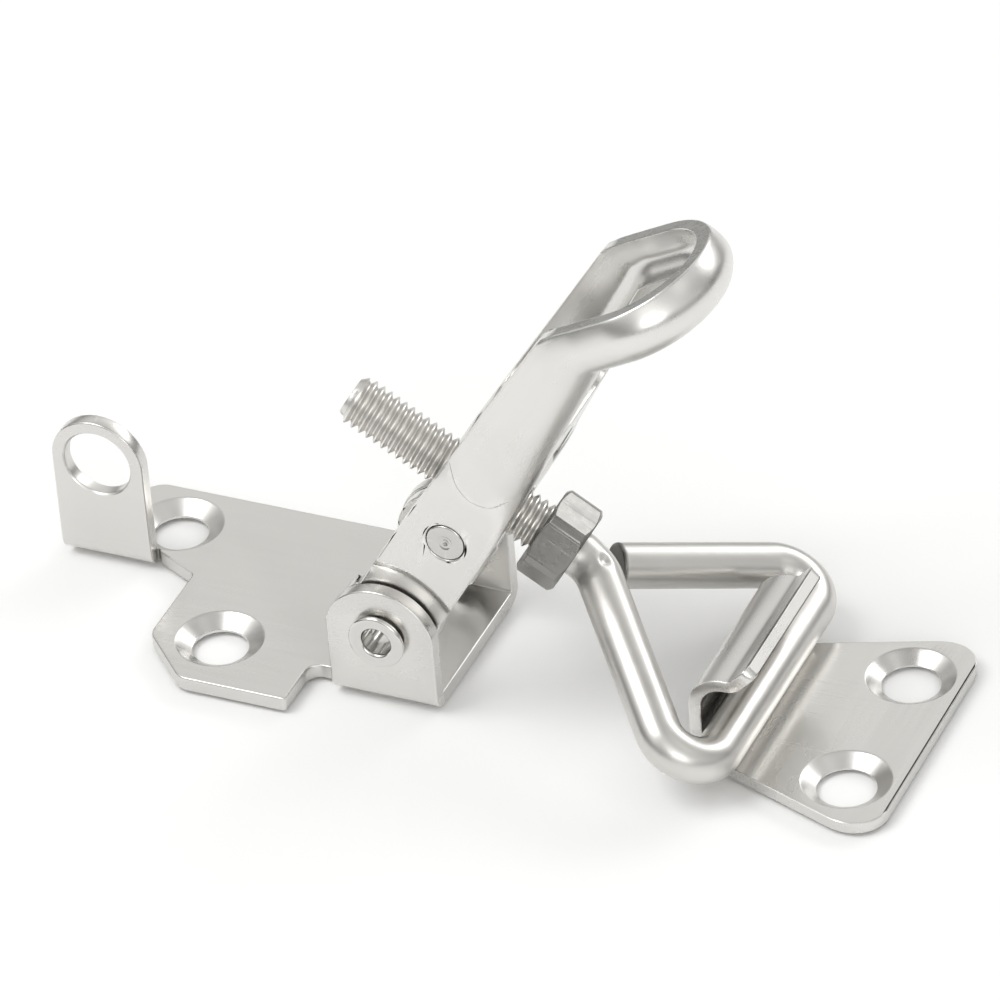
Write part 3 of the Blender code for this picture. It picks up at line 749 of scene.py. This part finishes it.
def side_outline():
    """Side view of the lever, which trims its round end, throat and free edges."""
    rim_start = tip_point(-3.0, 0, TIP_RIM)
    rim_end = tip_point(TIP_LENGTH + 2, 0, TIP_RIM)
    slope = tan(CREASE_ANGLE)
    edge_at_zero = FREE_EDGE + FREE_EDGE_SLOPE * FREE_EDGE_START
    meet = (rim_start.z + slope * rim_start.x - edge_at_zero) / (slope - FREE_EDGE_SLOPE)
    outline = arc((0, 0), CHEEK_END_RADIUS, 58.0, 299.0, 72)
    outline += [(3.7, -5.06), (4.5, -4.94), (5.6, -4.88), (9.5, -4.83), (23.0, -4.7)]
    outline += [(THROAT_END, -14.0), (rim_end.x, -22.0)]
    outline += [(rim_end.x, rim_end.z), (meet + 1.6, free_edge(meet) - 1.6 * slope + 0.06)]
    outline += [(meet, free_edge(meet) - 0.12), (meet - 1.6, free_edge(meet - 1.6))]
    return outline + [(FREE_EDGE_START, free_edge(FREE_EDGE_START))]


def pressed_line():
    """Thin groove over the near cheek, where the lever's form begins."""
    path = fillet_path([(26.9, 0, 4.6), (25.2, 0, 2.6), (24.5, 0, 0.6), (25.1, 0, -1.6), (27.0, 0, -3.1)],
                       [3.0, 3.0, 3.0], 8.0)
    circle = arc((0, 0), 1.0, 0, 360, 10)[:-1]
    rings = []
    for point in path:
        level = point.z - web_height(point.x)
        middle = Vector((point.x, -half_width(point.x, point.z, level, 0.0) - 0.02, point.z))
        rings.append([middle + Vector((0.09 * a, 0.13 * b, 0.05 * a)) for a, b in circle])
    return loft(rings)


def make_lever():
    """Pressed channel with its finger end, cut to shape, then rounded at its edges."""
    stations = [-9.35 + 0.45 * i for i in range(47)]
    stations += [12.1, 13.6, 15.2, 17.1, 19, 21, 22.5, 24.0, 25.2, 26.4, 27.6, 28.8]
    stations += [32, 35.2, 38.6, 42, 45.3, CREASE]
    lever = piece("lever_handle", lever_block(0.0, stations, 14.0), AT_LEVER)

    open_end = [-10.0] + [s for s in stations if s < THROAT_END] + [THROAT_END - 0.05]
    closed_end = [THROAT_END + 0.05] + [s for s in stations if s > THROAT_END]
    cut(lever, piece("cutter", lever_block(LEVER_SHEET, open_end + closed_end, 15.0, 8.0), AT_LEVER))
    cut(lever, piece("cutter", prism(side_outline(), 'xz', -16, 16), AT_LEVER), operation='INTERSECT')

    notch = rounded([(THROAT_END - 2, -NOTCH_HALF_WIDTH, 0.0), (NOTCH_END, -NOTCH_HALF_WIDTH, 2.5),
                     (NOTCH_END, NOTCH_HALF_WIDTH, 2.5), (THROAT_END - 2, NOTCH_HALF_WIDTH, 0.0)])
    pivot_steps = ((RIVET_HOLE_RADIUS, -14), (RIVET_HOLE_RADIUS, 14))
    seat = JOURNAL_RADIUS + JOURNAL_GAP
    outer = CHEEK_OUTER
    seat_steps = ((seat + 0.5, -outer - 0.3), (seat + 0.08, -outer), (seat, -outer + 0.1),
                  (seat, outer - 0.1), (seat + 0.08, outer), (seat + 0.5, outer + 0.3))
    cut(lever, piece("cutter", slot_cutter(SLOT_HALF_WIDTH), AT_LEVER),
        piece("cutter", prism(notch, 'xy', -9, 0), AT_LEVER),
        piece("cutter", cone_stack('y', pivot_steps), AT_LEVER),
        piece("cutter", cone_stack('y', seat_steps, (TRUNNION_REACH, 0.0)), AT_LEVER))
    tidy_mesh(lever)
    round_edges(lever, EDGE_ROUND)
    cut(lever, piece("cutter", pressed_line(), AT_LEVER))
    smooth(lever, 30.0)
    look = steel("lever_pressing", (0.76, 0.75, 0.73), 0.27, grain=(3.0, 30.0, 30.0), grain_depth=0.10,
                 blotch=0.04, turn=-LEVER_ANGLE)
    dress(lever, look, "lever", "handle")


# ---------------------------------------------------------------- rivets and trunnion

def make_rivet(name, node, side, look):
    """Hollow rivet with a rolled, dished head and a flared tail."""
    seat = EAR_OUTER + GAP
    face = seat + RIVET_HEAD
    tail_seat = EAR_OUTER - 2 * SHEET - 2 * GAP
    tail_end = tail_seat - RIVET_TAIL
    rim = RIVET_HEAD_RADIUS
    bore = RIVET_BORE_RADIUS
    profile = [(bore + 0.5, tail_end), (RIVET_TAIL_RADIUS - 0.25, tail_end)]
    profile += arc((RIVET_TAIL_RADIUS - 0.25, tail_end + 0.25), 0.25, -90, 0, 5)[1:]
    profile += [(RIVET_TAIL_RADIUS, tail_seat), (RIVET_SHANK_RADIUS, tail_seat), (RIVET_SHANK_RADIUS, seat)]
    profile += [(rim - 0.55, seat), (rim - 0.22, seat + 0.12), (rim, seat + 0.38)]
    profile += arc((rim - 0.3, face - 0.3), 0.3, 0, 90, 6)
    profile += [(rim - 0.7, face - 0.03), (bore + 0.75, face - 0.10)]
    profile += arc((bore + 0.42, face - 0.46), 0.42, 80, 180, 9)
    profile += [(bore, face - 1.3), (bore - 0.03, face - 2.2), (bore, tail_end + 0.9)]
    profile += arc((bore + 0.5, tail_end + 0.5), 0.5, 180, 262, 6)[1:]
    profile = [(radius, side * along) for radius, along in profile]
    rivet = piece(name, turned(profile, 'y'), AT_PIVOT)
    smooth(rivet, 40.0)
    dress(rivet, look, "base", node)


def make_trunnion():
    """Cross barrel with a journal and a punch mark at each end, bored for the bolt."""
    barrel_end = CHEEK_OUTER - LEVER_SHEET - GAP
    end = CHEEK_OUTER
    half = [(0.02, end - 0.40), (0.18, end - 0.36), (0.4, end - 0.16), (0.55, end - 0.10), (0.75, end - 0.12),
            (0.9, end - 0.03), (1.05, end)]
    half += arc((JOURNAL_RADIUS - 0.22, end - 0.22), 0.22, 90, 0, 6)
    half += [(JOURNAL_RADIUS, barrel_end + 0.12), (JOURNAL_RADIUS + 0.12, barrel_end)]
    half += arc((BARREL_RADIUS - 0.35, barrel_end - 0.35), 0.35, 90, 0, 6)
    steps = [(radius, -along) for radius, along in half]
    steps += [(radius, along) for radius, along in reversed(half)]
    trunnion = piece("trunnion_barrel", cone_stack('y', steps, segments=96), AT_BOLT)
    bore = THREAD_RADIUS + GAP - 0.05
    mouth = sqrt(BARREL_RADIUS ** 2 - bore ** 2)
    steps = ((bore + 1.0, -8), (bore + 0.55, -mouth - 0.4), (bore, -mouth + 0.4), (bore, mouth - 0.4),
             (bore + 0.55, mouth + 0.4), (bore + 1.0, 8))
    cut(trunnion, piece("cutter", cone_stack('x', steps), AT_BOLT))
    smooth(trunnion, 35.0)
    look = steel("turned_steel", (0.64, 0.63, 0.61), 0.26, grain=(60.0, 4.0, 60.0), grain_depth=0.20,
                 turn=BOLT_SLOPE)
    dress(trunnion, look, "swivel", "trunnion")


# ---------------------------------------------------------------- hook bolt and nut

def threaded_rows(end):
    """Rows of points of a right-hand thread that follow its helix, clipped square at both ends."""
    start = -THREAD_TAIL
    one_turn = ((0.06, 0.0), (0.42, 1.0), (0.56, 1.0), (0.92, 0.0))
    turns = int((end - start) / THREAD_PITCH) + 1
    rows = []
    for turn in range(-1, turns + 1):
        for phase, height in one_turn:
            row = []
            for k in range(WIRE_SIDES):
                along = start + THREAD_PITCH * (turn + phase + k / WIRE_SIDES)
                along = max(start, min(end, along))
                radius = THREAD_RADIUS - THREAD_DEPTH * (1.0 - height)
                fade = smooth_step((along - (end - 1.6)) / 1.5)
                radius = radius * (1 - fade) + WIRE_RADIUS * fade
                radius = min(radius, THREAD_RADIUS - THREAD_ROOT + (along - start))
                if along == start:
                    radius = THREAD_RADIUS - THREAD_ROOT
                angle = 2 * pi * k / WIRE_SIDES
                row.append(Vector((along, radius * cos(angle), radius * sin(angle))))
            rows.append(row)
    return rows, len(one_turn)


def thread_skin(shape, end):
    """Thread from its square start up to an end, whose rim of vertices is returned."""
    rows, per_turn = threaded_rows(end)
    grid = [[shape.verts.new(point) for point in row] for row in rows]
    last_row = len(grid) - 1
    for i in range(last_row):
        for k in range(WIRE_SIDES):
            if k < WIRE_SIDES - 1:
                corners = (grid[i][k], grid[i + 1][k], grid[i + 1][k + 1], grid[i][k + 1])
            else:
                low = min(i + per_turn, last_row)
                high = min(i + 1 + per_turn, last_row)
                corners = (grid[i][k], grid[i + 1][k], grid[high][0], grid[low][0])
            shape.faces.new(list(dict.fromkeys(corners)))
    shape.faces.new(grid[0])
    return grid[last_row]


def wire_spine(thread_end):
    """Centre line and radius of the plain wire, from the thread to its rounded free end."""
    corner = HOOK_REACH - SHANK_END
    points = [(thread_end + 0.2, 0, 0), (SHANK_END, 0, 0), (HOOK_REACH, -corner, 0),
              (HOOK_REACH, corner, 0), WIRE_END]
    path = fillet_path(points, [SHANK_BEND, HOOK_BEND, HOOK_BEND])
    dense = [path[0]]
    for point in path[1:]:
        start = dense[-1]
        extra = int((point - start).length // 0.8)
        for k in range(1, extra + 1):
            dense.append(start.lerp(point, k / (extra + 1)))
        dense.append(point)
    last = dense[-1]
    run = (last - dense[-2]).normalized()
    spine = [(point, WIRE_RADIUS) for point in dense[:-1]]
    for degrees in (0, 22, 45, 68, 90):
        angle = radians(degrees)
        spine.append((last - run * WIRE_END_ROUND * (1 - sin(angle)),
                      WIRE_RADIUS - WIRE_END_ROUND * (1 - cos(angle))))
    return spine


def make_hook_bolt():
    """Threaded wire, bent into a triangular hook with a dent near the first bend."""
    thread_end = NUT_NEAR + NUT_THICKNESS - 0.1
    shape = bmesh.new()
    rings = [thread_skin(shape, thread_end)]
    spine = wire_spine(thread_end)
    dent = Vector(DENT)
    normal = Vector((0, 0, 1))
    for i, (centre, radius) in enumerate(spine):
        before = spine[max(i - 1, 0)][0]
        after = spine[min(i + 1, len(spine) - 1)][0]
        run = (after - before).normalized()
        normal = (normal - run * normal.dot(run)).normalized()
        side = run.cross(normal)
        ring = []
        for k in range(WIRE_SIDES):
            angle = 2 * pi * k / WIRE_SIDES
            out = -side * cos(angle) + normal * sin(angle)
            point = centre + out * radius
            near = (point - dent).length
            point -= out * (DENT_DEPTH * max(0.0, 1.0 - (near / DENT_RADIUS) ** 2) ** 2)
            if i > 2:
                point -= out * (WIRE_WAVER * (0.5 + 0.5 * noise.noise(point * 0.35)))
            ring.append(shape.verts.new(point))
        rings.append(ring)
    for low, high in zip(rings, rings[1:]):
        for k in range(WIRE_SIDES):
            j = (k + 1) % WIRE_SIDES
            shape.faces.new((low[k], high[k], high[j], low[j]))
    shape.faces.new(rings[-1])
    bmesh.ops.remove_doubles(shape, verts=shape.verts, dist=0.002)
    bmesh.ops.dissolve_degenerate(shape, dist=0.002, edges=shape.edges)
    bolt = piece("hook_wire", shape, AT_BOLT)
    smooth(bolt, 42.0)
    look = steel("drawn_wire", (0.71, 0.695, 0.67), 0.35, grain=(6.0, 26.0, 26.0), grain_depth=0.20,
                 wear=0.06, turn=BOLT_SLOPE, sheared=AT_BOLT @ (Vector(WIRE_END) * MM))
    dress(bolt, look, "hook", "hook_bolt")


def make_nut():
    """Hexagon nut with worn-down corners and a countersunk bore."""
    far = NUT_NEAR + NUT_THICKNESS
    apothem = NUT_ACROSS_FLATS / 2
    corner = apothem / cos(pi / 6)
    hexagon = arc((0, 0), corner, 0, 360, 6)[:-1]
    nut = piece("nut_hexagon", prism(hexagon, 'yz', NUT_NEAR, far), AT_BOLT)
    steps = ((apothem - 0.12, NUT_NEAR), (NUT_CORNER_RADIUS, NUT_NEAR + 0.42),
             (NUT_CORNER_RADIUS, far - 0.42), (apothem - 0.12, far))
    cut(nut, piece("cutter", cone_stack('x', steps, segments=144), AT_BOLT), operation='INTERSECT')
    bore = THREAD_RADIUS + 0.1
    steps = ((bore + 1.1, NUT_NEAR - 0.5), (bore, NUT_NEAR + 0.6), (bore, far - 0.6), (bore + 1.1, far + 0.5))
    cut(nut, piece("cutter", cone_stack('x', steps, segments=72), AT_BOLT))
    round_edges(nut, 0.12, 3, 24.0)
    smooth(nut, 24.0)
    look = steel("nut_metal", (0.28, 0.275, 0.265), 0.31, grain=(50.0, 50.0, 50.0), grain_depth=0.42,
                 blotch=0.08, wear=0.15, turn=BOLT_SLOPE)
    dress(nut, look, "nut", "lock_nut")


# ---------------------------------------------------------------- keeper

def keeper_half_width(x):
    """Half the plate's width, which grows away from the lip."""
    return LIP_HALF_WIDTH + KEEPER_SPREAD * max(0.0, x - KEEPER_LEFT)


def make_keeper():
    """Screw plate with a curled lip, swept along its bends."""
    half_t = KEEPER_SHEET / 2
    stations = []
    for degrees in range(0, 91, 6):
        x = KEEPER_RIGHT - KEEPER_CORNER * (1 - cos(radians(degrees)))
        trim = KEEPER_CORNER * (1 - sin(radians(degrees)))
        stations.append((Vector((x, 0, half_t)), keeper_half_width(x) - trim))
    path = fillet_path([(KEEPER_RIGHT - KEEPER_CORNER, 0, half_t), (KEEPER_LEFT, 0, half_t),
                        (KEEPER_LEFT, 0, LIP_TOP), (42.0, 0, LIP_TOP),
                        (LIP_FLARE[0], 0, LIP_FLARE[1])], [3.8, 3.6, 2.0])
    for point in path[1:]:
        width = keeper_half_width(point.x) if point.z < 3.0 else LIP_HALF_WIDTH
        stations.append((point, width))
    end, width = stations.pop()
    run = (end - stations[-1][0]).normalized()
    for degrees in (90, 70, 50, 30, 14, 0):
        inward = LIP_CORNER * (1 - cos(radians(degrees)))
        stations.append((end - run * inward, width - LIP_CORNER * (1 - sin(radians(degrees)))))
    rings = []
    for i, (point, width) in enumerate(stations):
        run = stations[min(i + 1, len(stations) - 1)][0] - stations[max(i - 1, 0)][0]
        side = Vector((-run.z, 0, run.x)).normalized() * half_t
        across = Vector((0, width, 0))
        rings.append([point + side + across, point + side - across,
                      point - side - across, point - side + across])
    keeper = piece("keeper_plate", loft(rings), AT_BASE)
    x, y = KEEPER_HOLES
    cut(keeper, screw_hole((x, -y), KEEPER_SHEET, AT_BASE), screw_hole((x, y), KEEPER_SHEET, AT_BASE))
    tidy_mesh(keeper)
    round_edges(keeper, EDGE_ROUND)
    smooth(keeper, 28.0)
    look = steel("keeper_sheet", (0.70, 0.69, 0.67), 0.28, grain=(40.0, 3.0, 40.0), grain_depth=0.16)
    dress(keeper, look, "catch", "keeper")


# ---------------------------------------------------------------- studio

CAMERA_AZIMUTH = radians(26.21)
CAMERA_ELEVATION = radians(36.22)
CAMERA_ROLL = radians(-4.89)
CAMERA_PLACE = (0.365936, -0.721517, 0.611648)
CAMERA_LENS = 323.5
LIGHT_AIM = (0.0, 0.0, 0.02)
FLOOR_REACH = 3.0
FLOOR_DROP = 0.0004


def make_floor():
    """Plain pale floor just below the part."""
    shape = bmesh.new()
    corners = [shape.verts.new((x * FLOOR_REACH, y * FLOOR_REACH, -FLOOR_DROP))
               for x, y in ((-1, -1), (1, -1), (1, 1), (-1, 1))]
    shape.faces.new(corners)
    mesh = bpy.data.meshes.new("studio_floor")
    shape.to_mesh(mesh)
    shape.free()
    floor = bpy.data.objects.new("studio_floor", mesh)
    bpy.context.scene.collection.objects.link(floor)
    material = bpy.data.materials.new("pale_floor")
    material.use_nodes = True
    shader = material.node_tree.nodes["Principled BSDF"]
    shader.inputs["Base Color"].default_value = (0.93, 0.93, 0.93, 1.0)
    shader.inputs["Roughness"].default_value = 0.9
    mesh.materials.append(material)


def make_world():
    """A grey room with soft bright and dark patches, so that the steel has something to reflect."""
    world = bpy.data.worlds.new("studio")
    bpy.context.scene.world = world
    world.use_nodes = True
    tree = NodeTree(world.node_tree)
    coordinates = tree.add("ShaderNodeTexCoord").outputs["Generated"]
    parts = tree.add("ShaderNodeSeparateXYZ", {"Vector": coordinates})
    ramp = tree.add("ShaderNodeValToRGB", {"Fac": parts.outputs["Z"]})
    horizon, top = ramp.color_ramp.elements
    horizon.position = 0.0
    horizon.color = (0.18, 0.18, 0.18, 1)
    top.position = 1.0
    top.color = (0.8, 0.8, 0.785, 1)
    for position, value in ((0.15, 0.29), (0.35, 0.66), (0.58, 1.0), (0.80, 1.05)):
        element = ramp.color_ramp.elements.new(position)
        element.color = (value, value, value * 0.98, 1)
    patches = tree.add("ShaderNodeTexNoise", {"Vector": coordinates, "Scale": 1.6, "Detail": 1.0})
    spread = tree.ranged(patches.outputs["Fac"], 0.35, 0.65, 0.55, 1.3)
    room = tree.blended(ramp.outputs["Color"], spread, 1.0, 'MULTIPLY')
    tree.feed(world.node_tree.nodes["Background"], {"Color": room, "Strength": 1.0})


def area_light(name, place_at, size, power):
    """Soft rectangular light that faces the part."""
    light = bpy.data.lights.new(name, 'AREA')
    light.shape = 'RECTANGLE'
    light.size = size[0]
    light.size_y = size[1]
    light.energy = power
    item = bpy.data.objects.new(name, light)
    bpy.context.scene.collection.objects.link(item)
    item.location = place_at
    direction = Vector(LIGHT_AIM) - Vector(place_at)
    item.rotation_euler = direction.to_track_quat('-Z', 'Y').to_euler()


def make_camera():
    """Long-lens camera, high on the front right and tilted a little."""
    forward = Vector((-sin(CAMERA_AZIMUTH) * cos(CAMERA_ELEVATION),
                      cos(CAMERA_AZIMUTH) * cos(CAMERA_ELEVATION), -sin(CAMERA_ELEVATION)))
    level_right = Vector((cos(CAMERA_AZIMUTH), sin(CAMERA_AZIMUTH), 0))
    level_up = Vector((-sin(CAMERA_AZIMUTH) * sin(CAMERA_ELEVATION),
                       cos(CAMERA_AZIMUTH) * sin(CAMERA_ELEVATION), cos(CAMERA_ELEVATION)))
    right = level_right * cos(CAMERA_ROLL) + level_up * sin(CAMERA_ROLL)
    up = level_up * cos(CAMERA_ROLL) - level_right * sin(CAMERA_ROLL)
    camera = bpy.data.cameras.new("camera")
    camera.sensor_width = 36.0
    camera.lens = CAMERA_LENS
    camera.clip_start = 0.05
    camera.clip_end = 20.0
    item = bpy.data.objects.new("camera", camera)
    bpy.context.scene.collection.objects.link(item)
    matrix = Matrix((right, up, -forward)).transposed().to_4x4()
    matrix.translation = Vector(CAMERA_PLACE)
    item.matrix_world = matrix
    bpy.context.scene.camera = item
    bpy.context.scene.view_settings.view_transform = 'Standard'


make_base()
make_lever()
rivet_look = steel("rivet_metal", (0.72, 0.71, 0.69), 0.18, grain=(30.0, 30.0, 30.0), grain_depth=0.12)
make_rivet("rivet_front", "pivot_rivet_front", -1, rivet_look)
make_rivet("rivet_rear", "pivot_rivet_rear", 1, rivet_look)
make_trunnion()
make_hook_bolt()
make_nut()
make_keeper()

make_floor()
make_world()
area_light("key", (-0.35, -0.25, 0.75), (0.45, 0.45), 2.6)
area_light("front", (0.45, -0.75, 0.35), (0.5, 0.3), 1.0)
area_light("rim", (0.35, 0.7, 0.5), (0.6, 0.25), 1.2)
make_camera()
